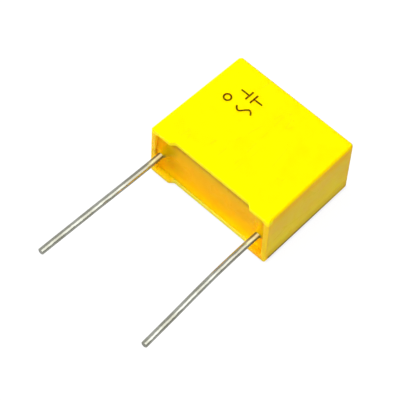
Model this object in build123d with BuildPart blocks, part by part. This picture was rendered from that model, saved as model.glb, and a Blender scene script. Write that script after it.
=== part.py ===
from build123d import *
import os
from math import radians, tan

# Film capacitor in a moulded box, with two radial leads. It lies on one of its wide faces.
#
# Frame: the origin is the centre of the lead pattern, on the seating plane that the case's feet make.
# X runs from the left lead to the right one, +Y from the seating plane to the closed end of the case,
# and Z across the two wide faces. The leads leave towards -Y. All sizes are in millimetres, angles in degrees.

# Leads: round wire, bent slightly outwards beyond the seating plane
lead_pitch = 15.0
lead_diameter = 0.8
lead_straight = 1.1  # straight stretch outside the seating plane, square to it
left_splay = 1.4  # angle between the free end and the straight stretch
right_splay = 3.3
left_bend_radius = 60.0
right_bend_radius = 120.0
left_free_length = 18.4  # along the wire, from the seating plane to the cut end
right_free_length = 18.65
cut_burr = 0.06  # chamfer that the cutter leaves on the cut end

# Coined end of each wire, pressed flat where it is welded to the winding
coined_thickness = 0.48
coined_width = 1.1
coined_margin = 1.1  # from the end of the coined stretch to the far edge of the winding

# Case walls
case_height = 14.5  # from the feet to the outside of the closed end
case_thickness = 8.5  # across the wide faces
narrow_wall = 0.65
wide_wall = 0.7
end_wall = 0.8
lead_gap = 0.45  # resin between a lead and the narrow wall, at the seating plane
narrow_draft = 1.0  # of the narrow walls, outside and inside
wide_draft = 0.5  # of the wide walls, inside only: outside they are parallel
end_corner_radius = 0.5  # between a narrow wall and the closed end
face_edge_radius = 0.3  # round each wide face
cavity_corner_radius = 0.5
cavity_floor_bevel = 0.3
rim_edge_bevel = 0.08  # outer edges of the rim

# Feet: between them, the rims of the wide walls step back from the seating plane
foot_length = 2.9  # along X, from the outside of a narrow wall
standoff = 0.5
step_blend_radius = 0.4

# Winding, sprayed ends and resin
spray_thickness = 0.45
spray_edge_bevel = 0.15
wrap_thickness = 0.15
mandrel_slit = 0.12  # what is left of the mandrel's hole after pressing
element_side_gap = 0.3  # resin between the winding and each wide wall, at the closed end
element_end_gap = 0.4  # resin between the winding and the closed end
element_cover = 0.9  # resin between the winding and the open surface
resin_drop = 0.4  # from the stepped rim down to the line where the resin meets the wall
meniscus_rise = 0.5
meniscus_width = 1.7
meniscus_land = 0.05
meniscus_radius = 2.5
collar_gap = 0.1  # from the seating plane to the top of the resin that climbs each lead
collar_land = 0.1  # collar's thickness round the lead at its top, half-way down and at its foot
collar_waist = 0.35
collar_width = 1.0

# Sizes that follow
wire_radius = lead_diameter / 2
case_width = lead_pitch + 2 * (wire_radius + lead_gap + narrow_wall)
cavity_depth = case_height - end_wall
resin_contact = standoff + resin_drop
resin_level = resin_contact + meniscus_rise
element_start = resin_level + element_cover
element_end = cavity_depth - element_end_gap
element_height = element_end - element_start
element_middle = (element_start + element_end) / 2
film_width = lead_pitch - coined_thickness - 2 * spray_thickness
past = 1.0  # how far a cutting shape runs past the face that it starts from


def across(depth):
    """The plane across the case at this depth behind the seating plane, looking out of its mouth."""
    return Plane(origin=(0, depth, 0), x_dir=(1, 0, 0), z_dir=(0, -1, 0))


def cavity_width(depth):
    return case_width - 2 * narrow_wall - 2 * depth * tan(radians(narrow_draft))


def cavity_thickness(depth):
    return case_thickness - 2 * wide_wall - 2 * depth * tan(radians(wide_draft))


element_thickness = cavity_thickness(cavity_depth) - 2 * element_side_gap


# What the case's cavity holds: a drafted block with rounded corners, from the seating plane to its floor
with BuildPart() as cavity:
    for depth in (0, cavity_depth):
        with BuildSketch(across(depth)):
            RectangleRounded(cavity_width(depth), cavity_thickness(depth), cavity_corner_radius)
    loft()
    chamfer(cavity.faces().sort_by(Axis.Y)[-1].edges(), cavity_floor_bevel)


# Case: a drafted box with soft edges, its cavity, and a rim that steps back between four corner feet
with BuildPart() as case:
    taper = case_height * tan(radians(narrow_draft))
    with BuildSketch(Plane.XY) as plan:
        with BuildLine():
            Polyline(
                (-case_width / 2, 0),
                (case_width / 2, 0),
                (case_width / 2 - taper, case_height),
                (taper - case_width / 2, case_height),
                close=True,
            )
        make_face()
        fillet(plan.vertices().group_by(Axis.Y)[-1], end_corner_radius)
    extrude(amount=case_thickness / 2, both=True)
    wide_faces = case.faces().filter_by(Axis.Z)
    seat_edges = case.faces().sort_by(Axis.Y)[0].edges()
    fillet([edge for edge in wide_faces.edges() if edge not in seat_edges], face_edge_radius)
    with BuildSketch(Plane.XY):
        with BuildLine():
            foot_end = case_width / 2 - foot_length
            step_end = foot_end - standoff
            rim = FilletPolyline(
                (-foot_end - past, 0),
                (-foot_end, 0),
                (-step_end, standoff),
                (step_end, standoff),
                (foot_end, 0),
                (foot_end + past, 0),
                radius=step_blend_radius,
            )
            Polyline(rim @ 1, (foot_end + past, -past), (-foot_end - past, -past), rim @ 0)
        make_face()
    extrude(amount=case_thickness, both=True, mode=Mode.SUBTRACT)
    rim_edges = case.edges().filter_by_position(Axis.Y, -rim_edge_bevel, standoff + rim_edge_bevel)
    chamfer(rim_edges.filter_by(Axis.Z, reverse=True), rim_edge_bevel)
    add(cavity.part, mode=Mode.SUBTRACT)
case.part.label = "case"


# Winding: a stadium section in the YZ plane, along X. Its turns are one solid, with the pressed mandrel slit.
with BuildPart() as film_winding:
    with BuildSketch(Plane.YZ) as turns:
        with Locations((element_middle, 0)):
            SlotOverall(element_height - 2 * wrap_thickness, element_thickness - 2 * wrap_thickness)
            SlotOverall(element_height - element_thickness, mandrel_slit, mode=Mode.SUBTRACT)
    extrude(amount=film_width / 2, both=True)
film_winding.part.label = "film_winding"


# Blank film that closes the roll
with BuildPart() as wrap_film:
    with BuildSketch(Plane.YZ):
        with Locations((element_middle, 0)):
            SlotOverall(element_height, element_thickness)
            SlotOverall(
                element_height - 2 * wrap_thickness,
                element_thickness - 2 * wrap_thickness,
                mode=Mode.SUBTRACT,
            )
    extrude(amount=film_width / 2, both=True)
wrap_film.part.label = "wrap_film"


def make_sprayed_end(side):
    """The metal layer on one end of the roll, with the soft edge that spraying leaves."""
    with BuildPart() as layer:
        with BuildSketch(Plane.YZ.offset(side * film_width / 2)):
            with Locations((element_middle, 0)):
                SlotOverall(element_height, element_thickness)
        extrude(amount=side * spray_thickness)
        outside = layer.faces().sort_by(Axis.X)[-1 if side > 0 else 0]
        chamfer(outside.edges(), spray_edge_bevel)
    return layer


sprayed_end_left = make_sprayed_end(-1)
sprayed_end_left.part.label = "sprayed_end_left"
sprayed_end_right = make_sprayed_end(1)
sprayed_end_right.part.label = "sprayed_end_right"


def make_lead(side, splay, bend_radius, free_length):
    """One lead, from the coined stretch on the winding through the bend to its cut end."""
    lead_x = side * lead_pitch / 2
    coined_start = element_start - wrap_thickness
    coined_end = element_end - coined_margin
    with BuildPart() as lead:
        # Inside the case the wire is pressed flat for its weld to the sprayed end, and slowly becomes round.
        with BuildSketch(across(coined_end)):
            with Locations((lead_x, 0)):
                SlotOverall(coined_width, coined_thickness, rotation=90)
        extrude(amount=coined_end - coined_start)
        with BuildSketch(across(coined_start)):
            with Locations((lead_x, 0)):
                SlotOverall(coined_width, coined_thickness, rotation=90)
        with BuildSketch(across(0)):
            with Locations((lead_x, 0)):
                Circle(wire_radius)
        loft()
        with BuildLine(Plane.XY):
            straight = Line((lead_x, 0), (lead_x, -lead_straight))
            bend = JernArc(straight @ 1, straight % 1, bend_radius, side * splay)
            Line(bend @ 1, bend @ 1 + (bend % 1) * (free_length - lead_straight - bend.length))
        with BuildSketch(across(0)):
            with Locations((lead_x, 0)):
                Circle(wire_radius)
        sweep()
        chamfer(lead.faces().sort_by(Axis.Y)[0].edges(), cut_burr)
    return lead


lead_left = make_lead(-1, left_splay, left_bend_radius, left_free_length)
lead_left.part.label = "lead_left"
lead_right = make_lead(1, right_splay, right_bend_radius, right_free_length)
lead_right.part.label = "lead_right"


# The air over the resin: a dish whose sides rise to the walls as a meniscus, less a collar round each lead
with BuildPart() as air:
    with BuildSketch(across(resin_contact)):
        Rectangle(case_width, case_thickness)
    extrude(amount=resin_contact + past)
    for depth, inset in ((resin_level, meniscus_width), (resin_contact, meniscus_land)):
        with BuildSketch(across(depth)):
            RectangleRounded(
                cavity_width(depth) - 2 * inset,
                cavity_thickness(depth) - 2 * inset,
                cavity_corner_radius,
            )
    loft()
    fillet(air.faces().sort_by(Axis.Y)[-1].edges(), meniscus_radius)
    for lead_x in (-lead_pitch / 2, lead_pitch / 2):
        with BuildSketch(Plane.XY):
            with BuildLine():
                Polyline(
                    (lead_x, collar_gap),
                    (lead_x + wire_radius + collar_land, collar_gap),
                    (lead_x + wire_radius + collar_waist, (collar_gap + resin_level) / 2),
                    (lead_x + wire_radius + collar_width, resin_level),
                    (lead_x, resin_level),
                    close=True,
                )
            make_face()
        revolve(axis=Axis((lead_x, 0, 0), (0, 1, 0)), mode=Mode.SUBTRACT)


# Potting resin: fills the cavity round the winding, the sprayed ends and the leads
with BuildPart() as potting_resin:
    add(cavity.part)
    add(air.part, mode=Mode.SUBTRACT)
    with BuildSketch(Plane.YZ):
        with Locations((element_middle, 0)):
            SlotOverall(element_height, element_thickness)
    extrude(amount=film_width / 2, both=True, mode=Mode.SUBTRACT)
    for held in (sprayed_end_left, sprayed_end_right, lead_left, lead_right):
        add(held.part, mode=Mode.SUBTRACT)
potting_resin.part.label = "potting_resin"


os.makedirs("parts", exist_ok=True)
pieces = (
    case,
    potting_resin,
    film_winding,
    wrap_film,
    sprayed_end_left,
    sprayed_end_right,
    lead_left,
    lead_right,
)
for piece in pieces:
    export_step(piece.part, f"parts/{piece.part.label}.step")
    print(f"{piece.part.label}: {piece.part.volume:.2f} mm3")
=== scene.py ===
# %% [markdown]
# # A film capacitor in a moulded box
#
# The part is a small electronic component: a yellow plastic box with one open side, filled with orange
# resin, and two tinned wires that leave through the resin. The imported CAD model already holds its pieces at
# their real size. This lesson gives each visible piece a finer mesh and a finish of its own, and then
# lights it.
#
# The CAD model is loaded first, as a frame that never moves. Its X axis runs from one wire to the other,
# its Y axis runs into the box, and the box lies on one of its wide faces, so that Z is up.

# %% Load the frame
import math

import bmesh
import bpy
from mathutils import Matrix, Vector, noise


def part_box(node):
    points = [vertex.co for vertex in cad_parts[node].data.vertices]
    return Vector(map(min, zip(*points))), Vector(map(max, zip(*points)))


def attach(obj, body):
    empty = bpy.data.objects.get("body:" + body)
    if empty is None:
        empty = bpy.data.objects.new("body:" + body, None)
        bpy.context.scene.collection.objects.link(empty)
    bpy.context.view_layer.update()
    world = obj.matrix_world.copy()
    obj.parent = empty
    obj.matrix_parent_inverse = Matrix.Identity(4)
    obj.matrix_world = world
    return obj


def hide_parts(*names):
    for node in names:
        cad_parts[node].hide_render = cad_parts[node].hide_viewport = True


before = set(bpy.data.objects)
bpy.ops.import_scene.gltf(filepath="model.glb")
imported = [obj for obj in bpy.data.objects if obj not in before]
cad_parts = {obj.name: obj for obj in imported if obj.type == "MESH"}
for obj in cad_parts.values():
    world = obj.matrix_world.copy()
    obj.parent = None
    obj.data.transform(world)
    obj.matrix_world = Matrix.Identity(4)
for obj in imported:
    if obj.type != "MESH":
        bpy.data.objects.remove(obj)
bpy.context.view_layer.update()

print("CAD nodes:", ", ".join(sorted(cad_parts)))

# %% [markdown]
# ## Sizes
#
# The overall sizes come from the frame. Blender works in metres, and the object is about 18 mm wide, so
# every small size is written as a number of millimetres times MM. The wall, the draft and the radii aren't
# in the frame, so they are named here, once.
#
# Printed marks lie on the upper face as a film of ink. The box is made thinner by that film, so that the
# marks stay inside the size that the CAD model gives.

# %% Sizes of the box and its recess
MM = 0.001
TINY = 1e-7  # metres; vertices as close as this are joined
SAME = 1e-6  # metres; places as close as this count as one

case_low, case_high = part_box("case")
resin_low, resin_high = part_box("potting_resin")
ink_film = 0.004 * MM
half_width = case_high.x
half_thickness = case_high.z - ink_film
case_end = case_high.y
cavity_end = resin_high.y

narrow_wall = 0.65 * MM
wide_wall = 0.7 * MM
narrow_draft = math.tan(math.radians(1.0))
wide_draft = math.tan(math.radians(0.5))
end_corner_radius = 0.5 * MM
face_edge_radius = 0.36 * MM
cavity_corner_radius = 0.5 * MM
cavity_floor_radius = 0.3 * MM
rim_outer_radius = 0.16 * MM
rim_inner_radius = 0.05 * MM

foot_length = 2.9 * MM
foot_end = half_width - foot_length
standoff = 0.5 * MM
step_blend = 0.4 * MM

print(f"box {2 * half_width / MM:.1f} x {case_end / MM:.1f} x {2 * half_thickness / MM:.1f} mm")

# %% [markdown]
# ## Helpers for every piece
#
# Each new mesh is made in a bmesh, which is Blender's editable mesh in memory, and then becomes an object.
# The object stays at the origin, unturned and unscaled, because its place is in its vertices, as a CAD node's
# is. `finish_piece` also hangs the piece on the body that it rides on, hides the CAD node that it stands for,
# and prints its size.

# %% Turn a bmesh into an object, or into a finished piece
def make_object(name, bm):
    mesh = bpy.data.meshes.new(name)
    bm.to_mesh(mesh)
    bm.free()
    made = bpy.data.objects.new(name, mesh)
    bpy.context.scene.collection.objects.link(made)
    return made


def finish_piece(name, bm, stands_for=()):
    for face in bm.faces:
        face.smooth = True
    piece = make_object(name, bm)
    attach(piece, "root")
    if stands_for:
        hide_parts(*stands_for)
    print(f"{name}: {len(piece.data.vertices)} vertices, {len(piece.data.polygons)} faces")
    return piece


# %% Round off, cut by a plane, and pour one bmesh into another
def round_off(bm, geometry, radius, segments, affect="EDGES"):
    bmesh.ops.bevel(
        bm,
        geom=list(geometry),
        offset=radius,
        offset_type="OFFSET",
        affect=affect,
        segments=segments,
        profile=0.5,
        material=-1,
        clamp_overlap=False,
    )


def each_once(items):
    """The items without repeats, in their own order. A set's order would change from run to run."""
    return list(dict.fromkeys(items))


def cut(bm, faces, place, direction):
    edges = each_once(edge for face in faces for edge in face.edges)
    vertices = each_once(vertex for face in faces for vertex in face.verts)
    geometry = [*vertices, *edges, *faces]
    bmesh.ops.bisect_plane(bm, geom=geometry, dist=TINY, plane_co=place, plane_no=direction)


def pour_in(bm, other):
    """Adds the other bmesh to this one, and frees it."""
    carrier = bpy.data.meshes.new("carrier")
    other.to_mesh(carrier)
    other.free()
    bm.from_mesh(carrier)
    bpy.data.meshes.remove(carrier)


# %% Tests on edges and faces
def near(a, b):
    return abs(a - b) < SAME


def everywhere(item, test):
    """Whether the test holds at each vertex of an edge or a face."""
    return all(test(vertex.co) for vertex in item.verts)


def level_in(edge, axis):
    """Whether both ends of an edge have the same X, Y or Z."""
    first, second = edge.verts
    return near(getattr(first.co, axis), getattr(second.co, axis))


def at_mouth(co):
    return near(co.y, 0)


# %% [markdown]
# ## The box
#
# The real box is one injection moulding. Its narrow walls lean in by one degree, so that the mould lets go
# of it, its outer edges are soft, and its rim steps back by half a millimetre between four corner feet, so
# that washing water can run out from under it on a circuit board.
#
# A moulding like this could be cut from a block with booleans, but those leave long thin faces that shade
# badly. Here both skins, the outer box and the cavity, start as cubes that are tapered and bevelled. Their
# mouths are open, and bridging them makes the rim.

# %% A tapered box between two depths
def drafted_box(bm, half_x, half_z, depth, lean_x, lean_z):
    """A box from the seating plane to a depth. Its far end is smaller by the lean times the depth."""
    vertices = bmesh.ops.create_cube(bm, size=2.0)["verts"]
    for vertex in vertices:
        far = vertex.co.y > 0
        shrink_x = depth * lean_x if far else 0.0
        shrink_z = depth * lean_z if far else 0.0
        vertex.co.x *= half_x - shrink_x
        vertex.co.z *= half_z - shrink_z
        vertex.co.y = depth if far else 0.0


def open_mouth(bm):
    mouth = [face for face in bm.faces if everywhere(face, at_mouth)]
    bmesh.ops.delete(bm, geom=mouth, context="FACES_ONLY")


# %% The outer skin, with its soft edges
def make_outer_skin():
    bm = bmesh.new()
    drafted_box(bm, half_width, half_thickness, case_end, narrow_draft, 0.0)
    far_edges = [edge for edge in bm.edges if everywhere(edge, lambda co: near(co.y, case_end))]
    round_off(bm, [edge for edge in far_edges if level_in(edge, "x")], end_corner_radius, segments=10)
    outline = [edge for edge in bm.edges if level_in(edge, "z") and not everywhere(edge, at_mouth)]
    round_off(bm, outline, face_edge_radius, segments=8)
    open_mouth(bm)
    return bm


# %% The cavity, turned inside out, or closed for later use as a solid
def make_cavity(inset=0.0, closed=False):
    bm = bmesh.new()
    half_x = half_width - narrow_wall - inset
    half_z = half_thickness - wide_wall - inset
    drafted_box(bm, half_x, half_z, cavity_end, narrow_draft, wide_draft)
    corners = [edge for edge in bm.edges if not level_in(edge, "y")]
    round_off(bm, corners, cavity_corner_radius, segments=8)
    floor_edges = [edge for edge in bm.edges if everywhere(edge, lambda co: near(co.y, cavity_end))]
    round_off(bm, floor_edges, cavity_floor_radius, segments=3)
    if not closed:
        open_mouth(bm)
        bmesh.ops.reverse_faces(bm, faces=bm.faces[:])
    return bm


# %% [markdown]
# The step between a foot and the recessed rim is a 45 degree ramp with a blend at each end. The long walls
# have no vertices there yet. `bisect_plane` first cuts off a narrow band behind the rim, and then cuts that
# band, and only that, at the places where the ramp bends. Each vertex of the rim then moves to its height,
# which follows two arcs and a straight line. Cuts that ran the whole length of the walls would show as
# faint lines in the reflections.

# %% Height of the rim along the wide walls
def step_corners():
    """Where the blends of one ramp start and end, as distances from the middle of the box."""
    run = step_blend * math.tan(math.radians(22.5))
    slant = run * math.cos(math.radians(45))
    low = (foot_end + run, foot_end - slant)
    high = (foot_end - standoff + slant, foot_end - standoff - run)
    return low, high


def rim_height(distance):
    low, high = step_corners()
    if distance >= low[0]:
        return 0.0
    if distance > low[1]:
        return step_blend - math.sqrt(step_blend**2 - (low[0] - distance) ** 2)
    if distance >= high[0]:
        return foot_end - distance
    if distance > high[1]:
        return standoff - step_blend + math.sqrt(step_blend**2 - (distance - high[1]) ** 2)
    return standoff


# %% Cut the band behind the rim
band_depth = 1.3 * MM
blend_steps = 5


def cut_band(bm):
    cut(bm, bm.faces[:], Vector((0, band_depth, 0)), Vector((0, 1, 0)))
    for start, stop in step_corners():
        for i in range(blend_steps + 1):
            distance = start + (stop - start) * i / blend_steps
            for side in (-1, 1):
                band = [face for face in bm.faces if everywhere(face, lambda co: co.y < band_depth + TINY)]
                cut(bm, band, Vector((side * distance, 0, 0)), Vector((1, 0, 0)))


# %% Join the skins, step the rim and soften its edges
sharp_angle = math.radians(60)


def make_case():
    bm = make_outer_skin()
    pour_in(bm, make_cavity())
    mouths = [edge for edge in bm.edges if edge.is_boundary]
    bmesh.ops.bridge_loops(bm, edges=mouths)
    cut_band(bm)

    rim = {vertex for vertex in bm.verts if at_mouth(vertex.co)}
    for vertex in rim:
        vertex.co.y = rim_height(abs(vertex.co.x))

    rim_edges = [edge for edge in bm.edges if rim.issuperset(edge.verts)]
    sharp = [edge for edge in rim_edges if edge.calc_face_angle(0) > sharp_angle]
    inner_x = half_width - narrow_wall + TINY
    inner_z = half_thickness - wide_wall + TINY

    def by_recess(co):
        return abs(co.x) < inner_x and abs(co.z) < inner_z

    inner = [edge for edge in sharp if everywhere(edge, by_recess)]
    outer = [edge for edge in sharp if edge not in inner]
    round_off(bm, outer, rim_outer_radius, segments=3)
    round_off(bm, [edge for edge in inner if edge.is_valid], rim_inner_radius, segments=2)
    bmesh.ops.remove_doubles(bm, verts=bm.verts[:], dist=TINY)
    bmesh.ops.recalc_face_normals(bm, faces=bm.faces[:])
    return bm


# %% [markdown]
# A soft edge next to a large flat face needs one more thing. With plain smooth shading the flat face would
# seem to bulge, because its corners share their normals with the soft edge. The Weighted Normal modifier
# lets the largest face decide each shared normal.

# %% The finished box
case_piece = finish_piece("case_shell", make_case(), ["case"])
shade = case_piece.modifiers.new("even_shading", "WEIGHTED_NORMAL")
shade.keep_sharp = True
shade.weight = 100

# %% [markdown]
# ## The two wires
#
# Each wire is drawn round, dipped in tin and cut square. A ring of 32 edges stands for its section. It is
# extruded along the straight stretches and spun round the centre of the bend. At its inner end it is
# pressed flat, where it is welded to the winding. Nobody bends a wire quite evenly, so the free stretch
# also wanders by a few hundredths of a millimetre.

# %% Sizes of the wires
wires = {
    "lead_left": {"side": -1, "splay": math.radians(1.4), "bend": 60 * MM, "free": 18.4 * MM},
    "lead_right": {"side": 1, "splay": math.radians(3.3), "bend": 120 * MM, "free": 18.65 * MM},
}
wire_x = 7.5 * MM
wire_radius = 0.4 * MM
wire_straight = 1.1 * MM
cut_burr = 0.06 * MM
coined_thickness = 0.48 * MM
coined_width = 1.1 * MM
coined_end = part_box("lead_left")[1].y
coined_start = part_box("sprayed_end_left")[0].y
wander = 0.02 * MM
wander_grows = 3 * MM  # how far beyond the straight stretch it is full
wander_wave = 5 * MM
print(f"wires {2 * wire_x / MM:.0f} mm apart, {2 * wire_radius / MM:.1f} mm thick")


# %% Extrude one ring of a wire to the next
def ring_vertices(ring):
    return each_once(vertex for edge in ring for vertex in edge.verts)


def go_on(bm, ring, step):
    made = bmesh.ops.extrude_edge_only(bm, edges=ring)["geom"]
    vertices = [item for item in made if isinstance(item, bmesh.types.BMVert)]
    bmesh.ops.translate(bm, verts=vertices, vec=step)
    return [item for item in made if isinstance(item, bmesh.types.BMEdge) and item.is_boundary]


def start_flat(bm, side):
    """The flat end of a wire: a ring squeezed to the coined section, and closed."""
    bmesh.ops.create_circle(bm, segments=32, radius=wire_radius)
    bmesh.ops.rotate(bm, verts=bm.verts[:], cent=(0, 0, 0), matrix=Matrix.Rotation(math.radians(90), 3, "X"))
    squeeze = Vector((coined_thickness, 2 * wire_radius, coined_width)) / (2 * wire_radius)
    bmesh.ops.scale(bm, verts=bm.verts[:], vec=squeeze)
    bmesh.ops.translate(bm, verts=bm.verts[:], vec=Vector((side * wire_x, coined_end, 0)))
    ring = bm.edges[:]
    bmesh.ops.contextual_create(bm, geom=ring)
    return ring, squeeze


# %% From flat to round, in small steps
def grow_round(bm, ring, squeeze, side, steps=8):
    place = Matrix.Translation(Vector((-side * wire_x, 0, 0)))
    for i in range(steps):
        ring = go_on(bm, ring, Vector((0, -coined_start / steps, 0)))
        before = [1 + (s - 1) * (1 - i / steps) for s in squeeze]
        after = [1 + (s - 1) * (1 - (i + 1) / steps) for s in squeeze]
        factor = [b / a for a, b in zip(before, after)]
        bmesh.ops.scale(bm, verts=ring_vertices(ring), vec=factor, space=place)
    return ring


# %% The bend and the free stretch, to the cut end
def bend_wire(bm, ring, side, splay, bend, steps=8):
    turn = bmesh.ops.spin(
        bm,
        geom=ring + ring_vertices(ring),
        cent=(side * (wire_x + bend), -wire_straight, 0),
        axis=(0, 0, 1),
        dvec=(0, 0, 0),
        angle=side * splay,
        steps=steps,
        use_duplicate=False,
    )["geom_last"]
    return [item for item in turn if isinstance(item, bmesh.types.BMEdge)]


def run_to_end(bm, ring, direction, length, steps=24):
    for i in range(steps):
        ring = go_on(bm, ring, direction * length / steps)
    ring = go_on(bm, ring, direction * cut_burr)
    tip = sum((vertex.co for vertex in ring_vertices(ring)), Vector()) / len(ring)
    shrink = 1 - cut_burr / wire_radius
    bmesh.ops.scale(bm, verts=ring_vertices(ring), vec=(shrink,) * 3, space=Matrix.Translation(-tip))
    bmesh.ops.contextual_create(bm, geom=ring)


# %% A whole wire
def make_wire(side, splay, bend, free):
    bm = bmesh.new()
    ring, squeeze = start_flat(bm, side)
    ring = go_on(bm, ring, Vector((0, coined_start - coined_end, 0)))
    ring = grow_round(bm, ring, squeeze, side)
    ring = go_on(bm, ring, Vector((0, -wire_straight, 0)))
    ring = bend_wire(bm, ring, side, splay, bend)
    direction = Vector((side * math.sin(splay), -math.cos(splay), 0))
    run_to_end(bm, ring, direction, free - wire_straight - bend * splay - cut_burr)
    for vertex in bm.verts:
        out = min(max(-vertex.co.y - wire_straight, 0) / wander_grows, 1)
        along = vertex.co.y / wander_wave
        vertex.co.x += out * wander * noise.noise(Vector((along, side, 0.5)))
        vertex.co.z += out * wander * noise.noise(Vector((along, side, 7.5)))
    bmesh.ops.recalc_face_normals(bm, faces=bm.faces[:])
    return bm


wire_pieces = [
    finish_piece(f"{name}_wire", make_wire(**facts), [name]) for name, facts in wires.items()
]

# %% [markdown]
# ## The potting resin
#
# The resin was poured in as a liquid. It crept up the walls and up each wire before it set, so its surface
# is a shallow dish with a collar round each wire. In the narrow gap between a wire and the wall beside it,
# it climbed furthest. The surface is a fine grid whose vertices move to a depth that a formula gives, and
# the grid gets more cuts near the wires, where it is steep.
#
# The grid is wider than the cavity. A boolean with a block the shape of the cavity cuts it exactly where it
# meets the walls, round corners included, and closes it at the back. The grid is made of triangles first,
# because a cut through a bent square leaves a corner in the middle of an edge, and such corners give faces
# without width.
#
# More booleans then take away what the resin holds: the winding, the sprayed ends and the wires. The block
# is smaller than the cavity by a few thousandths of a millimetre, so that two surfaces never lie in the
# same place.

# %% Depth of the resin's open surface
resin_level = 1.4 * MM
resin_contact = 0.65 * MM
wall_reach = 0.8 * MM
collar_top = resin_low.y
collar_reach = 0.42 * MM
gap_climb = 1.2  # how much further the collar reaches for each millimetre towards the wall
ripple_depth = 0.03 * MM
ripple_size = 2.2 * MM


def creep(distance, reach):
    return math.exp(-max(distance, 0.0) / reach)


def resin_depth(x, z):
    """Depth of the resin behind the seating plane."""
    to_narrow = half_width - narrow_wall - abs(x)
    to_wide = half_thickness - wide_wall - abs(z)
    wall_creep = 1 - (1 - creep(to_narrow, wall_reach)) * (1 - creep(to_wide, wall_reach))
    depth = resin_level - (resin_level - resin_contact) * wall_creep
    ripple = noise.noise(Vector((x, z, 0)) / ripple_size)
    depth += ripple_depth * ripple * (1 - wall_creep)
    outward = abs(x) - wire_x
    to_wire = math.hypot(outward, z) - wire_radius
    return depth - (depth - collar_top) * creep(to_wire, collar_reach + gap_climb * max(outward, 0.0))


print(f"resin {resin_depth(0, 0) / MM:.2f} mm deep in the middle, {resin_contact / MM:.2f} mm at the walls")

# %% The surface as a grid
grid_cells = (240, 100)
wall_left_over = 0.4  # share of each wall that the grid doesn't reach
finer_within = 1.0 * MM  # of a wire's axis, where the grid gets more cuts


def near_wire(co):
    return math.hypot(abs(co.x) - wire_x, co.z) < finer_within


def make_resin():
    bm = bmesh.new()
    bmesh.ops.create_grid(bm, x_segments=grid_cells[0], y_segments=grid_cells[1], size=1.0)
    for vertex in bm.verts:
        x = vertex.co.x * (half_width - wall_left_over * narrow_wall)
        z = vertex.co.y * (half_thickness - wall_left_over * wide_wall)
        vertex.co = (x, 0, z)
    close = [edge for edge in bm.edges if everywhere(edge, near_wire)]
    bmesh.ops.subdivide_edges(bm, edges=close, cuts=1, use_grid_fill=True)
    for vertex in bm.verts:
        vertex.co.y = resin_depth(vertex.co.x, vertex.co.z)

    outline = [edge for edge in bm.edges if edge.is_boundary]
    back = go_on(bm, outline, Vector((0, 0, 0)))
    for vertex in ring_vertices(back):
        vertex.co.y = case_end
    bmesh.ops.contextual_create(bm, geom=back)
    bmesh.ops.recalc_face_normals(bm, faces=bm.faces[:])
    bmesh.ops.triangulate(bm, faces=bm.faces[:])
    return bm


# %% Solids that the resin is cut with
skin_gap = 0.003 * MM


def merged_copy(piece):
    """A copy of a piece's mesh, with its doubles joined."""
    bm = bmesh.new()
    bm.from_mesh(piece.data)
    bmesh.ops.remove_doubles(bm, verts=bm.verts[:], dist=TINY)
    return make_object(f"{piece.name}_copy", bm)


def wrapped_copy(pieces):
    """The tightest convex solid round these pieces, a hair longer, so that its ends overlap the wires."""
    bm = bmesh.new()
    for piece in pieces:
        bm.from_mesh(piece.data)
    bmesh.ops.delete(bm, geom=bm.edges[:], context="EDGES_FACES")
    bmesh.ops.remove_doubles(bm, verts=bm.verts[:], dist=TINY)
    hull = bmesh.ops.convex_hull(bm, input=bm.verts[:])
    inside = [item for item in hull["geom_interior"] if isinstance(item, bmesh.types.BMVert)]
    bmesh.ops.delete(bm, geom=inside, context="VERTS")
    bmesh.ops.recalc_face_normals(bm, faces=bm.faces[:])
    reach = max(vertex.co.x for vertex in bm.verts)
    bmesh.ops.scale(bm, verts=bm.verts[:], vec=((reach + 2 * skin_gap) / reach, 1, 1))
    return make_object("winding_block", bm)


# %% A boolean whose result goes into the mesh
def carve(target, operation, tool):
    """Applies one boolean to the target, and removes the tool."""
    step = target.modifiers.new("carve", "BOOLEAN")
    step.operation = operation
    step.solver = "EXACT"
    step.object = tool
    graph = bpy.context.evaluated_depsgraph_get()
    result = bpy.data.meshes.new_from_object(target.evaluated_get(graph))
    target.modifiers.clear()
    target.data = result
    bpy.data.objects.remove(tool)


# %% Cut the resin to the cavity, and make room for what it holds
resin_block = make_object("resin_block", make_resin())
carve(resin_block, "INTERSECT", make_object("cavity_block", make_cavity(inset=skin_gap, closed=True)))
winding_parts = [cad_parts[name] for name in ("wrap_film", "sprayed_end_left", "sprayed_end_right")]
carve(resin_block, "DIFFERENCE", wrapped_copy(winding_parts))
for piece in wire_pieces:
    carve(resin_block, "DIFFERENCE", merged_copy(piece))

resin_mesh = bmesh.new()
resin_mesh.from_mesh(resin_block.data)
bmesh.ops.remove_doubles(resin_mesh, verts=resin_mesh.verts[:], dist=TINY)
many_sided = [face for face in resin_mesh.faces if len(face.verts) > 4]
bmesh.ops.triangulate(resin_mesh, faces=many_sided)
resin_piece = finish_piece("resin_fill", resin_mesh, ["potting_resin"])
resin_piece.data.set_sharp_from_angle(angle=math.radians(30))
bpy.data.objects.remove(resin_block)

# %% [markdown]
# ## The printed marks
#
# Such boxes carry a few marks, pad-printed in dark ink near the closed end. These ones are general signs,
# not anybody's: the drawing symbol of a capacitor, a wave for alternating current and a ring. Each stroke
# starts as a flat shape: a square stretched to a bar, a fine grid bent to a wave, or two circles that are
# bridged. Solidify then gives all of them the thickness of the ink.

# %% A bar and a wave of ink
stroke_width = 0.21 * MM


def ink_bar(bm, centre, length, width):
    vertices = bmesh.ops.create_grid(bm, x_segments=1, y_segments=1, size=0.5)["verts"]
    bmesh.ops.scale(bm, verts=vertices, vec=(length, width, 1))
    bmesh.ops.translate(bm, verts=vertices, vec=(centre.x, centre.y, 0))
    round_off(bm, vertices, 0.3 * stroke_width, segments=3, affect="VERTICES")


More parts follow.
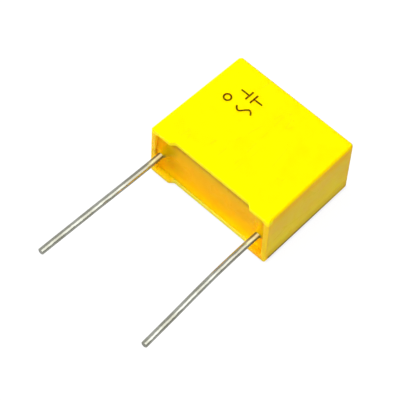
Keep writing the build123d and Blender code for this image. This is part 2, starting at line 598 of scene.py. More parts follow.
def ink_wave(bm, centre, length, height):
    vertices = bmesh.ops.create_grid(bm, x_segments=32, y_segments=1, size=0.5)["verts"]
    for vertex in vertices:
        turn = 2 * math.pi * vertex.co.x
        middle = Vector((vertex.co.x * length, 0.5 * height * math.sin(turn), 0))
        ahead = Vector((length, 0.5 * height * 2 * math.pi * math.cos(turn), 0)).normalized()
        sideways = Vector((-ahead.y, ahead.x, 0))
        vertex.co = middle + sideways * vertex.co.y * stroke_width
    bmesh.ops.translate(bm, verts=vertices, vec=(centre.x, centre.y, 0))


# %% A ring of ink
def ink_ring(bm, centre, radius):
    place = Matrix.Translation((centre.x, centre.y, 0))
    edges = []
    for side in (-0.5, 0.5):
        circle = bmesh.ops.create_circle(bm, segments=40, radius=radius + side * stroke_width, matrix=place)
        edges += each_once(edge for vertex in circle["verts"] for edge in vertex.link_edges)
    bmesh.ops.bridge_loops(bm, edges=edges)


# %% The three marks
symbol_centre = Vector((-3.8, 11.0)) * MM
symbol_length = 3.2 * MM
plate_length = 1.4 * MM
plate_gap = 0.5 * MM
wave_centre = Vector((-3.25, 9.05)) * MM
wave_length = 2.1 * MM
wave_height = 0.9 * MM
ring_centre = Vector((-5.8, 9.1)) * MM
ring_radius = 0.45 * MM


def make_marks():
    bm = bmesh.new()
    line_length = 0.5 * (symbol_length - plate_gap) - stroke_width
    for side in (-1, 1):
        plate = symbol_centre + Vector((side * 0.5 * (plate_gap + stroke_width), 0))
        line = plate + Vector((side * 0.5 * (stroke_width + line_length), 0))
        ink_bar(bm, plate, stroke_width, plate_length)
        ink_bar(bm, line, line_length, stroke_width)
    ink_wave(bm, wave_centre, wave_length, wave_height)
    ink_ring(bm, ring_centre, ring_radius)
    bmesh.ops.recalc_face_normals(bm, faces=bm.faces[:])
    bmesh.ops.solidify(bm, geom=bm.faces[:], thickness=ink_film)
    lowest = min(vertex.co.z for vertex in bm.verts)
    bmesh.ops.translate(bm, verts=bm.verts[:], vec=(0, 0, half_thickness - lowest))
    bmesh.ops.recalc_face_normals(bm, faces=bm.faces[:])
    return bm


marks_piece = finish_piece("printed_marks", make_marks())
marks_piece.data.shade_flat()

# %% [markdown]
# ## Effects that several materials share
#
# A material is a network of shader nodes. An effect that more than one material needs is built once as a
# node group, with named sockets, and each material sets its own values. All patterns are procedural and
# read Object coordinates, so they have a real size and stay where they are when the object moves. Sizes in
# the groups are in millimetres, and a pattern's scale is one divided by its size in metres.

# %% Helpers that add and join nodes
def feed(tree, socket, value):
    """Joins another node's output to the socket, or sets the socket to a plain value."""
    if isinstance(value, bpy.types.NodeSocket):
        tree.links.new(value, socket)
    else:
        socket.default_value = value


def add_node(tree, kind, inputs=None, **settings):
    """Adds a node, with its settings and what goes into it, and lays the nodes out in rows of eight."""
    node = tree.nodes.new(kind)
    node.location = (180 * (len(tree.nodes) % 8), -220 * (len(tree.nodes) // 8))
    for name, value in settings.items():
        setattr(node, name, value)
    for socket, value in (inputs or {}).items():
        feed(tree, node.inputs[socket], value)
    return node


def compute(tree, operation, *values):
    """The result of a Math node."""
    return add_node(tree, "ShaderNodeMath", dict(enumerate(values)), operation=operation).outputs[0]


def product(tree, first, *others):
    for other in others:
        first = compute(tree, "MULTIPLY", first, other)
    return first


# %% Helpers that spread a range and lay colours over each other
def spread(tree, value, low, high, to_low=0.0, to_high=1.0):
    """Stretches one range to another. The result leaves both ends softly, and stays within them."""
    inputs = {"Value": value, "From Min": low, "From Max": high, "To Min": to_low, "To Max": to_high}
    return add_node(tree, "ShaderNodeMapRange", inputs, interpolation_type="SMOOTHSTEP").outputs["Result"]


def blend_colours(tree, factor, first, second):
    mixer = add_node(tree, "ShaderNodeMix", data_type="RGBA")
    feed(tree, mixer.inputs[0], factor)
    for socket, colour in ((mixer.inputs[6], first), (mixer.inputs[7], second)):
        feed(tree, socket, colour if isinstance(colour, bpy.types.NodeSocket) else (*colour, 1))
    return mixer.outputs[2]


def paint_over(tree, colour, masks, coats):
    """Lays coats over a colour, one after the other. Each names its mask, and has a strength and a colour."""
    for name, strength, paint in coats:
        colour = blend_colours(tree, product(tree, masks[name], strength), colour, paint)
    return colour


# %% Helpers that read the place of a point
def object_place(tree):
    return add_node(tree, "ShaderNodeTexCoord").outputs["Object"]


def split(tree, vector):
    return add_node(tree, "ShaderNodeSeparateXYZ", {0: vector}).outputs


def noise_of_size(tree, size, detail=2.0):
    """Noise with patches of this size, in millimetres."""
    scale = compute(tree, "DIVIDE", 1 / MM, size)
    inputs = {"Vector": object_place(tree), "Scale": scale, "Detail": detail}
    return add_node(tree, "ShaderNodeTexNoise", inputs).outputs[0]


def cells_of_size(tree, place, size, feature):
    """Voronoi cells of this size, in millimetres."""
    scale = compute(tree, "DIVIDE", 1 / MM, size)
    return add_node(tree, "ShaderNodeTexVoronoi", {"Vector": place, "Scale": scale}, feature=feature).outputs


# %% Helpers that make a group and place it
def new_group(name, inputs, output):
    tree = bpy.data.node_groups.new(name, "ShaderNodeTree")
    for label, value in inputs.items():
        tree.interface.new_socket(label, in_out="INPUT", socket_type="NodeSocketFloat").default_value = value
    tree.interface.new_socket(output, in_out="OUTPUT", socket_type="NodeSocketFloat")
    given = add_node(tree, "NodeGroupInput").outputs
    result = add_node(tree, "NodeGroupOutput").inputs[output]
    return tree, given, result


def place_group(tree, group, **values):
    """What a group puts out in this material. A value is named for its socket, with _ for each space."""
    node = add_node(tree, "ShaderNodeGroup", node_tree=group)
    for name, value in values.items():
        feed(tree, node.inputs[name.replace("_", " ")], value)
    return node.outputs[0]


# %% [markdown]
# The first group is the soft mottle that every moulded or cast surface has: the colour and the gloss change
# a little from patch to patch. The second is fine grain, the texture that the mould's spark-eroded steel
# leaves. Both are noise, and differ in their size and in where they are used.

# %% Soft mottle and fine grain
def make_mottle_group():
    tree, given, result = new_group("soft_mottle", {"Patch Size": 2.0, "Contrast": 1.0}, "Mottle")
    centred = compute(tree, "SUBTRACT", noise_of_size(tree, given["Patch Size"], detail=3.0), 0.5)
    stronger = compute(tree, "MULTIPLY_ADD", centred, given["Contrast"], 0.5)
    feed(tree, result, spread(tree, stronger, 0.15, 0.85))
    return tree


def make_grain_group():
    tree, given, result = new_group("fine_grain", {"Grain Size": 0.06}, "Grain")
    feed(tree, result, noise_of_size(tree, given["Grain Size"]))
    return tree


soft_mottle = make_mottle_group()
fine_grain = make_grain_group()

# %% [markdown]
# The third group marks worn edges. On the box it also carries a painted glow of light through the edges. A
# corner of the box shows as a place where the surface faces none of the main directions squarely, so the mask
# grows as the largest part of the normal gets smaller. Noise breaks it up, because handling never polishes an
# edge evenly.

# %% Worn edges
def make_edge_group():
    tree, given, result = new_group("worn_and_glowing_edges", {"Breakup Size": 0.8, "Breakup": 0.5}, "Edge")
    normal = split(tree, add_node(tree, "ShaderNodeTexCoord").outputs["Normal"])
    largest = compute(tree, "ABSOLUTE", normal["X"])
    for axis in ("Y", "Z"):
        largest = compute(tree, "MAXIMUM", largest, compute(tree, "ABSOLUTE", normal[axis]))
    turned = spread(tree, largest, 0.995, 0.80)
    gaps = spread(tree, noise_of_size(tree, given["Breakup Size"]), 0.6, 0.4)
    kept = compute(tree, "SUBTRACT", 1.0, product(tree, gaps, given["Breakup"]))
    feed(tree, result, product(tree, turned, kept))
    return tree


worn_and_glowing_edges = make_edge_group()

# %% [markdown]
# The last two groups are small damage. Hairlines are the edges of Voronoi cells that are stretched into
# long splinters, kept only where a broad noise is high. Specks are the middles of a few Voronoi cells: dust
# on the plastic, bubbles in the resin and pits in the tin.

# %% Hairlines
def make_hairline_group():
    tree, given, result = new_group("hairlines", {"Spacing": 1.5, "Width": 0.02, "Amount": 0.4}, "Hairline")
    tilt = (math.radians(12), math.radians(8), math.radians(24))
    stretch = {"Vector": object_place(tree), "Rotation": tilt, "Scale": (1.0, 0.12, 1.0)}
    splinters = add_node(tree, "ShaderNodeMapping", stretch).outputs[0]
    cells = cells_of_size(tree, splinters, given["Spacing"], "DISTANCE_TO_EDGE")
    line = compute(tree, "LESS_THAN", cells["Distance"], given["Width"])
    threshold = compute(tree, "SUBTRACT", 1.0, given["Amount"])
    kept = compute(tree, "GREATER_THAN", noise_of_size(tree, 2.5), threshold)
    feed(tree, result, product(tree, line, kept))
    return tree


hairlines = make_hairline_group()


# %% Specks
def make_speck_group():
    tree, given, result = new_group("specks", {"Spacing": 1.2, "Size": 0.05, "Share": 0.3}, "Speck")
    cells = cells_of_size(tree, object_place(tree), given["Spacing"], "F1")
    reach = compute(tree, "DIVIDE", given["Size"], given["Spacing"])
    spot = compute(tree, "LESS_THAN", cells["Distance"], reach)
    lottery = add_node(tree, "ShaderNodeSeparateColor", {0: cells["Color"]}).outputs["Red"]
    kept = compute(tree, "LESS_THAN", lottery, given["Share"])
    feed(tree, result, product(tree, spot, kept))
    return tree


specks = make_speck_group()
print("shared effects:", ", ".join(group.name for group in bpy.data.node_groups))

# %% [markdown]
# ## Finishes
#
# Every material below starts in the same way: an empty network with one Principled BSDF, whose own sockets
# take the values that are the same all over the surface.

# %% Start a material, put one on a piece, and add a bump
def new_finish(name, **values):
    material = bpy.data.materials.new(name)
    material.use_nodes = True
    tree = material.node_tree
    shader = tree.nodes["Principled BSDF"]
    for socket, value in values.items():
        shader.inputs[socket.replace("_", " ")].default_value = value
    return material, tree, shader.inputs


def wear(piece, material):
    piece.data.materials.clear()
    piece.data.materials.append(material)
    print(f"{piece.name} wears {material.name}")


def add_bump(tree, height, depth, strength, under=None):
    """The normal over a height. Under it may lie another bump."""
    inputs = {"Height": height, "Distance": depth, "Strength": strength}
    if under:
        inputs["Normal"] = under
    return add_node(tree, "ShaderNodeBump", inputs).outputs["Normal"]


# %% [markdown]
# ### The yellow plastic
#
# The box is polyester, filled with yellow pigment and moulded with a satin surface. It isn't quite opaque:
# light that falls on one side of a thin wall makes the other side glow orange, and it softens every edge.
# Subsurface scattering does that, with red travelling furthest. The mottle shifts the yellow a little towards
# orange and towards a duller ochre, the handled edges are smoother and are painted warmer, as a glow of light
# through them, and a few hairlines and specks lie over it.
#
# Some places are painted with light and shade. Light leaks through the edges of the right wall, so they are
# painted amber. The walls below the upper face are painted darker, as shade. The inside of the walls is
# painted orange, as a glow of light through them, and the foot on the lower right is painted a deeper orange,
# as a glow. The rim is painted lighter above the recess, as light, and paler below it and browner elsewhere,
# as shade. The right wall is darker towards its lower edge, and a contact shadow is painted along that edge.
#
# Such places could be painted by hand on an unwrapped mesh. Masks made of distances from the faces of the
# box need no unwrapping, and follow the box when its size changes. The coats then go on one over the other,
# as paint does.

# %% Distances from the faces of the box, and zones that they limit
def box_distances(tree):
    """How far a point lies from each face of the box, inwards."""
    axes = split(tree, object_place(tree))
    return {
        "upper": compute(tree, "SUBTRACT", half_thickness, axes["Z"]),
        "lower": compute(tree, "ADD", half_thickness, axes["Z"]),
        "wide": compute(tree, "SUBTRACT", half_thickness, compute(tree, "ABSOLUTE", axes["Z"])),
        "left": compute(tree, "ADD", half_width, axes["X"]),
        "right": compute(tree, "SUBTRACT", half_width, axes["X"]),
        "narrow": compute(tree, "SUBTRACT", half_width, compute(tree, "ABSOLUTE", axes["X"])),
        "mouth": axes["Y"],
        "end": compute(tree, "SUBTRACT", case_end, axes["Y"]),
    }


def zone(tree, away, *limits):
    """Where all limits hold. A limit is a face, and how far in (in mm) it starts and is full."""
    return product(tree, *(spread(tree, away[face], start * MM, full * MM) for face, start, full in limits))


# %% Zones that need more than limits
lower_part = ("lower", 0.4 * half_thickness / MM, 0.2 * half_thickness / MM)
left_part = ("left", 0.7 * half_width / MM, 0.3 * half_width / MM)
by_right_wall = ("right", 0.9, 0.6)
through_wall = (0.5 * narrow_wall / MM, narrow_wall / MM)


def inside_walls(tree, away):
    """The inside of the walls, with a painted glow of light through them. On the lower left foot it starts
    deeper in.
    """
    deeper_glow_foot = zone(tree, away, lower_part, left_part)
    start = compute(tree, "MULTIPLY_ADD", deeper_glow_foot, 0.4 * MM, 0.02 * MM)
    behind = spread(tree, compute(tree, "SUBTRACT", away["mouth"], start), 0.0, 0.3 * MM)
    return product(tree, zone(tree, away, ("narrow", *through_wall), ("wide", *through_wall)), behind)


def amber_edges(tree, away):
    """The edges of the right wall at the upper face and at the closed end, where light leaks through."""
    from_wall = compute(tree, "MULTIPLY_ADD", away["mouth"], -narrow_draft, away["right"])
    band = zone(tree, away, ("upper", 0.05, 0.45), ("upper", 2.2, 0.8))
    corner = spread(tree, away["end"], 1.3 * MM, 0.4 * MM, 0.0, 0.6)
    near_edge = spread(tree, from_wall, 0.30 * MM, 0.12 * MM)
    return product(tree, compute(tree, "MAXIMUM", band, corner), near_edge)


def shaded_walls(tree, away, patches):
    """Painted shade on the walls below the upper face. It is weaker at their feet, on the rim and in some
    patches.
    """
    height = spread(tree, away["lower"], -0.1 * half_thickness, 1.6 * half_thickness)
    behind_rim = spread(tree, zone(tree, away, ("mouth", 0.1, 0.6)), 0.0, 1.0, 0.55, 1.0)
    patchy = spread(tree, patches, 0.0, 1.0, 0.60, 0.90)
    return product(tree, zone(tree, away, ("upper", 0.6, 2.2)), height, patchy, behind_rim)


def painted_contact_shadow(tree, away):
    """Painted contact shadow along the lower edge of the right wall. It is weaker towards the closed end."""
    fading = spread(tree, away["mouth"], 14.0 * MM, 7.0 * MM, 0.45, 1.0)
    return product(tree, zone(tree, away, ("lower", 1.0, 0.35), by_right_wall, ("mouth", 0.2, 0.8)), fading)


# %% The coats of the box
case_yellow = (1.0, 0.69, 0.0)
case_orange = (0.985, 0.66, 0.0)
coats_under_glow = (
    ("ochre patches", 0.4, (0.92, 0.66, 0.0)),
    # painted shade on the walls below the upper face
    ("painted wall shade", 1.0, (1.0, 0.53, 0.045)),
    # partly wear, partly a painted glow of light through the edges
    ("worn and glowing edges", 0.5, (1.0, 0.62, 0.0)),
    ("amber edges", 0.75, (1.0, 0.46, 0.0)),
)
# painted glow of light through the walls, on their inside
inner_glow = (1.0, 0.54, 0.0)
inner_glow_below = (1.0, 0.64, 0.0)
coats_over_glow = (
    # painted glow on the lower right foot
    ("glowing foot", 1.0, (1.0, 0.40, 0.0)),
    # painted light on the upper rim; painted shade on the lower rim and the other rims
    ("upper rim", 0.9, (1.0, 0.74, 0.0)),
    # darker towards the bottom of the right wall
    ("darker low on the right", 0.75, (0.70, 0.44, 0.0)),
    ("lower rim", 0.7, (0.80, 0.64, 0.06)),
    ("other rims", 0.5, (0.72, 0.42, 0.01)),
    # painted contact shadow along the lower edge
    ("contact shadow", 0.95, (0.10, 0.06, 0.0)),
    ("hairlines", 0.25, (0.75, 0.50, 0.02)),
    ("specks", 0.5, (0.50, 0.28, 0.02)),
)


def case_masks(tree, away, patches):
    foot = (("right", 2.9, 2.1), ("right", 0.3, 0.7), ("mouth", 1.0, 0.4))
    return {
        "painted wall shade": shaded_walls(tree, away, patches),
        "amber edges": amber_edges(tree, away),
        "glowing foot": zone(tree, away, lower_part, *foot),
        "upper rim": zone(tree, away, ("upper", 1.0, 0.7), ("mouth", 0.8, 0.6)),
        "darker low on the right": zone(tree, away, ("lower", 2.4, 0.9), by_right_wall, ("mouth", 0.1, 0.6)),
        "lower rim": zone(tree, away, lower_part, ("mouth", 0.7, 0.6), ("narrow", 2.9, 3.4)),
        "other rims": zone(tree, away, ("upper", 0.7, 1.1), ("mouth", 0.6, 0.1)),
        "contact shadow": painted_contact_shadow(tree, away),
    }


# %% Moulded plastic
def make_case_plastic():
    material, tree, shader = new_finish(
        "case_plastic",
        Subsurface_Weight=0.8,
        Subsurface_Radius=(1.0, 0.6, 0.1),
        Subsurface_Scale=1.5 * MM,
        Specular_IOR_Level=0.22,
        Specular_Tint=(1.0, 0.85, 0.14, 1.0),
    )
    broad = place_group(tree, soft_mottle, Patch_Size=3.0, Contrast=2.0)
    fine = place_group(tree, soft_mottle, Patch_Size=0.9, Contrast=2.0)
    grain = place_group(tree, fine_grain, Grain_Size=0.06)
    edge = place_group(tree, worn_and_glowing_edges, Breakup_Size=0.9, Breakup=0.25)
    line = place_group(tree, hairlines, Spacing=2.2, Width=0.012, Amount=0.45)
    speck = place_group(tree, specks, Spacing=1.7, Size=0.05, Share=0.2)

    away = box_distances(tree)
    masks = {"ochre patches": fine, "worn and glowing edges": edge, "hairlines": line, "specks": speck}
    masks.update(case_masks(tree, away, broad))
    colour = blend_colours(tree, broad, case_yellow, case_orange)
    colour = paint_over(tree, colour, masks, coats_under_glow)
    # the inside of the walls gets the painted glow
    wall_glow = blend_colours(tree, zone(tree, away, lower_part), inner_glow, inner_glow_below)
    colour = blend_colours(tree, inside_walls(tree, away), colour, wall_glow)
    feed(tree, shader["Base Color"], paint_over(tree, colour, masks, coats_over_glow))

    satin = spread(tree, fine, 0.0, 1.0, 0.40, 0.50)
    polished = compute(tree, "MULTIPLY_ADD", edge, -0.08, satin)
    feed(tree, shader["Roughness"], compute(tree, "MULTIPLY_ADD", line, 0.15, polished))
    height = compute(tree, "MULTIPLY_ADD", line, -1.5, grain)
    feed(tree, shader["Normal"], add_bump(tree, height, 0.004 * MM, 0.5))
    return material


wear(case_piece, make_case_plastic())

# %% [markdown]
# ### The orange resin
#
# The resin is glossier than the box and more orange. Light and shade are painted on it: shade in its upper
# half, a shadow under the upper rim, light by the lower wall, and a deeper glow by the ends. On the lower
# right of each wire's collar a contact shadow is painted dark, and beside it lies a darker olive patch. Both
# are distances: from the axis of the nearer wire, and from a line a little above it and to its right. Shallow
# ripples and a few bubbles are bump.

# %% Distances from the wires
dark_patch_offset = Vector((0.55, 0.45)) * MM


def right_of_wire(tree, axes):
    """How far a point lies to the right of the nearer wire's axis."""
    nearer = compute(tree, "MULTIPLY", compute(tree, "SIGN", axes["X"]), wire_x)
    return compute(tree, "SUBTRACT", axes["X"], nearer)


def distance_from(tree, across, above):
    squared = compute(tree, "MULTIPLY_ADD", across, across, compute(tree, "MULTIPLY", above, above))
    return compute(tree, "SQRT", squared)


# %% Masks and coats of the resin
resin_orange = (0.90, 0.45, 0.0)
resin_brown = (0.85, 0.42, 0.0)
resin_coats = (
    # painted shade in the upper half
    ("shade in the upper half", 1.0, (0.74, 0.47, 0.0)),
    # painted shadow of the upper wall
    ("shadow under the rim", 1.0, (0.60, 0.30, 0.0)),
    # painted light by the lower wall
    ("light by the lower wall", 0.5, (1.0, 0.58, 0.0)),
    # painted glow of light through the narrow walls
    ("ends", 1.0, (1.0, 0.42, 0.0)),
    # a darker olive patch to the upper right of each wire
    ("dark patches", 0.80, (0.50, 0.33, 0.0)),
    # painted contact shadow on the lower right of each wire
    ("shadow at the wires", 1.0, (0.24, 0.18, 0.02)),
    ("bubbles", 0.4, (0.62, 0.26, 0.0)),
)


def resin_masks(tree):
    axes = split(tree, object_place(tree))
    across, above = right_of_wire(tree, axes), axes["Z"]
    shade_start = spread(tree, above, 1.0 * MM, 1.9 * MM)
    shade_end = spread(tree, above, 3.2 * MM, 2.0 * MM, 0.3, 1.0)
    collar = spread(tree, distance_from(tree, across, above), 0.60 * MM, 0.42 * MM)
    lower_right = spread(tree, compute(tree, "SUBTRACT", across, above), -0.2 * MM, 0.25 * MM)
    patch_x = compute(tree, "SUBTRACT", across, dark_patch_offset.x)
    patch_z = compute(tree, "SUBTRACT", above, dark_patch_offset.y)
    from_middle = compute(tree, "ABSOLUTE", axes["X"])
    return {
        "shade in the upper half": spread(tree, above, -0.5 * MM, 2.5 * MM),
        "shadow under the rim": product(tree, shade_start, shade_end),
        "light by the lower wall": spread(tree, above, -2.7 * MM, -3.5 * MM),
        "ends": spread(tree, from_middle, half_width - 2.0 * MM, half_width - 1.0 * MM),
        "dark patches": spread(tree, distance_from(tree, patch_x, patch_z), 1.3 * MM, 0.2 * MM),
        "shadow at the wires": product(tree, collar, lower_right),
    }


# %% Cast resin
def make_resin_finish():
    material, tree, shader = new_finish(
        "potting_resin",
        Subsurface_Weight=0.4,
        Subsurface_Radius=(1.0, 0.4, 0.05),
        Subsurface_Scale=0.6 * MM,
        Specular_IOR_Level=0.10,
        Specular_Tint=(1.0, 0.8, 0.05, 1.0),
    )
    mottle = place_group(tree, soft_mottle, Patch_Size=2.4, Contrast=1.5)
    grain = place_group(tree, fine_grain, Grain_Size=0.5)
    bubble = place_group(tree, specks, Spacing=1.3, Size=0.06, Share=0.25)
    masks = {**resin_masks(tree), "bubbles": bubble}
    colour = blend_colours(tree, mottle, resin_orange, resin_brown)
    feed(tree, shader["Base Color"], paint_over(tree, colour, masks, resin_coats))
    feed(tree, shader["Roughness"], spread(tree, mottle, 0.0, 1.0, 0.24, 0.36))
    height = compute(tree, "MULTIPLY_ADD", bubble, -0.6, grain)
    feed(tree, shader["Normal"], add_bump(tree, height, 0.02 * MM, 0.5))
    return material


wear(resin_piece, make_resin_finish())

# %% [markdown]
# ### The tinned wires
#
# Hot tin leaves a bright, slightly warm metal, with faint lines from the drawing die under it, shallow
# dents from handling, and patches where it has dulled. The lines are noise that is squeezed across the wire
# and stretched along it. The wires run almost along Y, so Object coordinates are enough.
#
# Close to the box each wire is painted darker, as shade, and a film of resin has crept along it. The film is
# painted dark, as shade, with a painted highlight along the wire's upper side. How high a point lies on the
# wire, square to its axis, gives that strip. Two bumps lie over each other, because the dents are far deeper
# than the lines.

# %% Masks and coats of the wires
tin_bright = (0.88, 0.90, 0.80)
tin_dull = (0.62, 0.62, 0.50)
wire_coats = (
    ("drawing lines", 0.35, (0.52, 0.50, 0.42)),
    ("pits", 0.6, (0.30, 0.29, 0.25)),
    # painted shade near the box
    ("shade near the box", 0.8, (0.60, 0.57, 0.44)),
)
film_shade = (0.20, 0.15, 0.04)
film_highlight = (0.82, 0.80, 0.52)
highlight_side = Vector((0.38, 0.92))  # the side of the wire, in X and Z, where the highlight is painted


def film_and_highlight_masks(tree, axes, patches):
    """The film of resin, painted dark as shade, which ends unevenly, and the strip of painted highlight along
    its upper side.
    """
    shift = product(tree, compute(tree, "SUBTRACT", patches, 0.5), 0.15 * MM)
    film = spread(tree, compute(tree, "ADD", shift, axes["Y"]), -2.6 * MM, -0.9 * MM)
    across = product(tree, right_of_wire(tree, axes), highlight_side.x)
    up = compute(tree, "MULTIPLY_ADD", axes["Z"], highlight_side.y, across)
    return film, spread(tree, up, 0.335 * MM, 0.395 * MM)


# %% Tinned wire
def make_wire_finish():
    material, tree, shader = new_finish("tinned_wire")
    place = object_place(tree)
    axes = split(tree, place)
    squeezed = add_node(tree, "ShaderNodeMapping", {"Vector": place, "Scale": (1.0, 0.03, 1.0)}).outputs[0]
    pattern = {"Vector": squeezed, "Scale": 14 / MM, "Detail": 3.0}
    lines = add_node(tree, "ShaderNodeTexNoise", pattern).outputs[0]
    dull = place_group(tree, soft_mottle, Patch_Size=1.8, Contrast=1.8)
    dent = place_group(tree, soft_mottle, Patch_Size=1.1, Contrast=1.6)
    pit = place_group(tree, specks, Spacing=0.6, Size=0.03, Share=0.3)

    masks = {
        "drawing lines": spread(tree, lines, 0.45, 0.75),
        "pits": pit,
        "shade near the box": spread(tree, axes["Y"], -9.0 * MM, -2.0 * MM),
    }
    colour = paint_over(tree, blend_colours(tree, dull, tin_bright, tin_dull), masks, wire_coats)
    # thin marks the painted highlight; the film is painted dark, as shade
    film, thin = film_and_highlight_masks(tree, axes, dull)
    film_colour = blend_colours(tree, thin, film_shade, film_highlight)
    feed(tree, shader["Base Color"], blend_colours(tree, film, colour, film_colour))
    feed(tree, shader["Metallic"], spread(tree, film, 0.0, 1.0, 1.0, 0.40))
    feed(tree, shader["Roughness"], spread(tree, dull, 0.0, 1.0, 0.16, 0.24))
    dented = add_bump(tree, dent, 0.05 * MM, 0.6)
    height = compute(tree, "SUBTRACT", lines, pit)
    feed(tree, shader["Normal"], add_bump(tree, height, 0.002 * MM, 0.2, under=dented))
    return material


wire_finish = make_wire_finish()
for piece in wire_pieces:
    wear(piece, wire_finish)

# %% [markdown]
# ### The ink
#
# Pad-printed ink is a very thin, dark brown film, matt, and a little starved in places, where the yellow
# shows through it.

# %% Printed ink
ink_brown = (0.075, 0.022, 0.0)
ink_starved = (0.32, 0.16, 0.0)


def make_ink():
    material, tree, shader = new_finish("print_ink", Specular_IOR_Level=0.05)
    starved = place_group(tree, soft_mottle, Patch_Size=0.22, Contrast=2.2)
    grain = place_group(tree, fine_grain, Grain_Size=0.05)
    thin = spread(tree, starved, 0.7, 1.0, 0.0, 0.6)
    feed(tree, shader["Base Color"], blend_colours(tree, thin, ink_brown, ink_starved))
    feed(tree, shader["Roughness"], spread(tree, grain, 0.3, 0.7, 0.5, 0.7))
    feed(tree, shader["Normal"], add_bump(tree, grain, 0.003 * MM, 0.4))
    return material


wear(marks_piece, make_ink())

# %% [markdown]
# ### The pieces inside
#
# The winding, its wrap and the sprayed metal are the CAD model's own solids, and the resin hides them. They
# still get true finishes, because someone may open the model. The edges of the wound films show as fine
# rings round the flattened middle of the roll. The distance to that middle line, taken through a sine,
# draws them.

# %% The wound film
winding_low, winding_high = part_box("film_winding")
ring_rate = 60 / MM  # radians of the sine for each metre, so that a ring is a tenth of a millimetre


def roll_rings(tree):
    axes = split(tree, object_place(tree))
    middle = 0.5 * (winding_low.y + winding_high.y)
    half_line = 0.5 * (winding_high.y - winding_low.y) - winding_high.z
    along = compute(tree, "ABSOLUTE", compute(tree, "SUBTRACT", axes["Y"], middle))
    beyond = compute(tree, "MAXIMUM", compute(tree, "SUBTRACT", along, half_line), 0.0)
    return compute(tree, "SINE", product(tree, distance_from(tree, beyond, axes["Z"]), ring_rate))


def make_film_finish():
    material, tree, shader = new_finish("metallised_film", Metallic=0.6)
    turns = roll_rings(tree)
    mottle = place_group(tree, soft_mottle, Patch_Size=1.5, Contrast=1.5)
    colour = blend_colours(tree, spread(tree, turns, -1.0, 1.0), (0.78, 0.80, 0.83), (0.58, 0.60, 0.64))
    colour = blend_colours(tree, product(tree, mottle, 0.3), colour, (0.66, 0.62, 0.55))
    feed(tree, shader["Base Color"], colour)
    feed(tree, shader["Roughness"], spread(tree, mottle, 0.0, 1.0, 0.25, 0.40))
    feed(tree, shader["Normal"], add_bump(tree, turns, 0.01 * MM, 0.4))
    return material


wear(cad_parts["film_winding"], make_film_finish())


# %% The blank wrap
def make_wrap_finish():
    material, tree, shader = new_finish("blank_film", Coat_Weight=0.3, Coat_Roughness=0.15)
    mottle = place_group(tree, soft_mottle, Patch_Size=2.0, Contrast=1.6)
    line = place_group(tree, hairlines, Spacing=1.2, Width=0.02, Amount=0.6)
    colour = blend_colours(tree, mottle, (0.86, 0.83, 0.74), (0.78, 0.74, 0.62))
    feed(tree, shader["Base Color"], blend_colours(tree, line, colour, (0.93, 0.92, 0.88)))
    feed(tree, shader["Roughness"], spread(tree, mottle, 0.0, 1.0, 0.18, 0.30))
    feed(tree, shader["Normal"], add_bump(tree, mottle, 0.03 * MM, 0.4))
    return material


wear(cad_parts["wrap_film"], make_wrap_finish())


# %% The sprayed metal
def make_zinc_finish():
    material, tree, shader = new_finish("sprayed_zinc", Metallic=0.9)
    grain = place_group(tree, fine_grain, Grain_Size=0.12)
    mottle = place_group(tree, soft_mottle, Patch_Size=1.0, Contrast=1.6)
    colour = blend_colours(tree, grain, (0.42, 0.43, 0.45), (0.66, 0.67, 0.68))
    colour = blend_colours(tree, product(tree, mottle, 0.4), colour, (0.48, 0.45, 0.40))
    feed(tree, shader["Base Color"], colour)
    feed(tree, shader["Roughness"], spread(tree, grain, 0.3, 0.7, 0.6, 0.8))
    feed(tree, shader["Normal"], add_bump(tree, grain, 0.05 * MM, 0.8))
    return material


zinc_finish = make_zinc_finish()
for name in ("sprayed_end_left", "sprayed_end_right"):
    wear(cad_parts[name], zinc_finish)

# %% [markdown]
# ## Floor, light and camera
#
# The object lies on a white studio table. A white table has to glow a little by itself to look as white as
# paper at this exposure. What the camera sees of it may be brighter than the light that it throws back on
# the object and than its reflection in the wires, so its strength depends on the kind of ray, as a studio's
# black cards do. Close under the object it gets darker, as any table does.

# %% Floor
floor_size = 1.5
floor_seen = 0.97
floor_thrown = 0.78
floor_mirrored = 0.30
contact_reach = 0.5 * MM
contact_shade = 0.75


def make_floor_finish():
    material, tree, shader = new_finish("pale_floor", Roughness=0.8, Specular_IOR_Level=0.0)
    shader["Base Color"].default_value = (0.06, 0.06, 0.06, 1)
    shader["Emission Color"].default_value = (1, 1, 1, 1)
    ray = add_node(tree, "ShaderNodeLightPath").outputs
    seen = compute(tree, "MULTIPLY_ADD", ray["Is Camera Ray"], floor_seen - floor_thrown, floor_thrown)
    strength = compute(tree, "MULTIPLY_ADD", ray["Is Glossy Ray"], floor_mirrored - floor_thrown, seen)
    contact = add_node(tree, "ShaderNodeAmbientOcclusion", {"Distance": contact_reach}, samples=8)
    openness = contact.outputs["AO"]
    shaded = product(tree, strength, spread(tree, openness, 0.0, 0.9, contact_shade, 1.0))
    feed(tree, shader["Emission Strength"], shaded)
    return material


floor_mesh = bmesh.new()
bmesh.ops.create_grid(floor_mesh, x_segments=1, y_segments=1, size=floor_size / 2)
floor = make_object("floor", floor_mesh)
floor.location.z = case_low.z
wear(floor, make_floor_finish())
print(f"floor {floor_size:.1f} m wide, at {floor.location.z / MM:.2f} mm")

# %% [markdown]
# One large soft light stands high on the left and a little in front. It makes the upper face the brightest,
# and leaves the upper part of the recess in its own shadow. A weak one, low on the right, lifts the narrow
# wall there.
#
# Shiny wires show what stands round them rather than the lights, so both lights are left out of
# reflections. The wires mirror the sky instead. It is dim at the horizon, which gives them dark edges, and
# it has one bright panel, as a studio hangs over polished things.

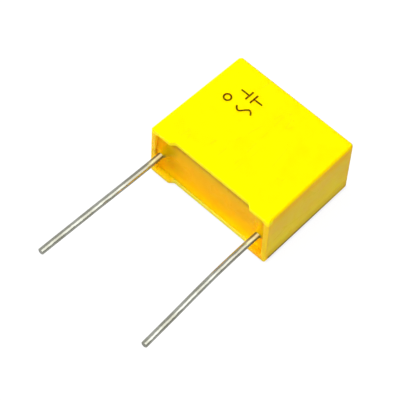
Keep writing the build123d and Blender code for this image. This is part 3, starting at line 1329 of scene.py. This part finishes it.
# %% Lights
def soft_light(name, direction, distance, size, energy):
    data = bpy.data.lights.new(name, "AREA")
    data.shape = "DISK"
    data.size = size
    data.energy = energy
    light = bpy.data.objects.new(name, data)
    toward_light = Vector(direction).normalized()
    light.location = Vector((0, 0.5 * case_end, 0)) + toward_light * distance
    light.rotation_euler = toward_light.to_track_quat("Z", "Y").to_euler()
    light.visible_glossy = False
    bpy.context.scene.collection.objects.link(light)
    print(f"{name} light: {size:.2f} m wide, {distance:.1f} m away, {energy:.2f} W")


soft_light("key", (-0.50, -0.22, 0.84), distance=0.6, size=0.8, energy=8.1)
soft_light("side", (0.80, -0.55, 0.22), distance=0.6, size=0.25, energy=1.35)

# %% Sky
sky_top = 0.25
sky_horizon = 0.03
sky_behind = 0.60  # share of its glow that is left behind the object
sky_seen = 0.85
panel_glow = 1.3
left_of_panel = 0.43
right_of_panel = 0.19


def make_sky():
    world = bpy.data.worlds.new("studio")
    world.use_nodes = True
    tree = world.node_tree
    direction = split(tree, add_node(tree, "ShaderNodeTexCoord").outputs["Generated"])
    ray = add_node(tree, "ShaderNodeLightPath").outputs
    glow = spread(tree, direction["Z"], 0.0, 1.0, sky_horizon, sky_top)
    glow = product(tree, glow, spread(tree, direction["Y"], 0.7, -0.1, sky_behind, 1.0))
    panel = product(tree, spread(tree, direction["Z"], 0.25, 0.62), spread(tree, direction["X"], -0.27, 0.10))
    beside = spread(tree, direction["X"], -0.3, 0.3, left_of_panel, right_of_panel)
    mirrored = spread(tree, panel, 0.0, 1.0, beside, panel_glow)
    glow = add_node(tree, "ShaderNodeMix", {0: ray["Is Glossy Ray"], 2: glow, 3: mirrored}).outputs[0]
    unseen = product(tree, glow, compute(tree, "SUBTRACT", 1.0, ray["Is Camera Ray"]))
    background = tree.nodes["Background"].inputs
    feed(tree, background["Color"], (1, 1, 1, 1))
    feed(tree, background["Strength"], compute(tree, "MULTIPLY_ADD", ray["Is Camera Ray"], sky_seen, unseen))
    return world


bpy.context.scene.world = make_sky()
bpy.context.scene.view_settings.view_transform = "Standard"
print(f"sky from {sky_horizon} at the horizon to {sky_top} overhead")

# %% [markdown]
# The camera looks down on the upper face and into the open side, from about 0.2 m with a long lens, so that
# the perspective stays slight. It is rolled by a few degrees, as a hand-held camera is.

# %% Camera
azimuth = math.radians(40.56)
elevation = math.radians(57.49)
roll = math.radians(3.785)
distance = 220.16 * MM
aim = Vector((-0.101, -1.077, 0)) * MM

toward = Vector((
    math.sin(azimuth) * math.cos(elevation),
    -math.cos(azimuth) * math.cos(elevation),
    math.sin(elevation),
))
camera_data = bpy.data.cameras.new("camera")
camera_data.sensor_width = 36
camera_data.lens = 176.12
camera_data.clip_start = 0.01
camera = bpy.data.objects.new("camera", camera_data)
bpy.context.scene.collection.objects.link(camera)
turned = toward.to_track_quat("Z", "Y").to_matrix().to_4x4()
camera.matrix_world = Matrix.Translation(aim + toward * distance) @ turned @ Matrix.Rotation(roll, 4, "Z")
bpy.context.scene.camera = camera
print(f"camera {distance / MM:.0f} mm away, {camera_data.lens:.0f} mm lens")
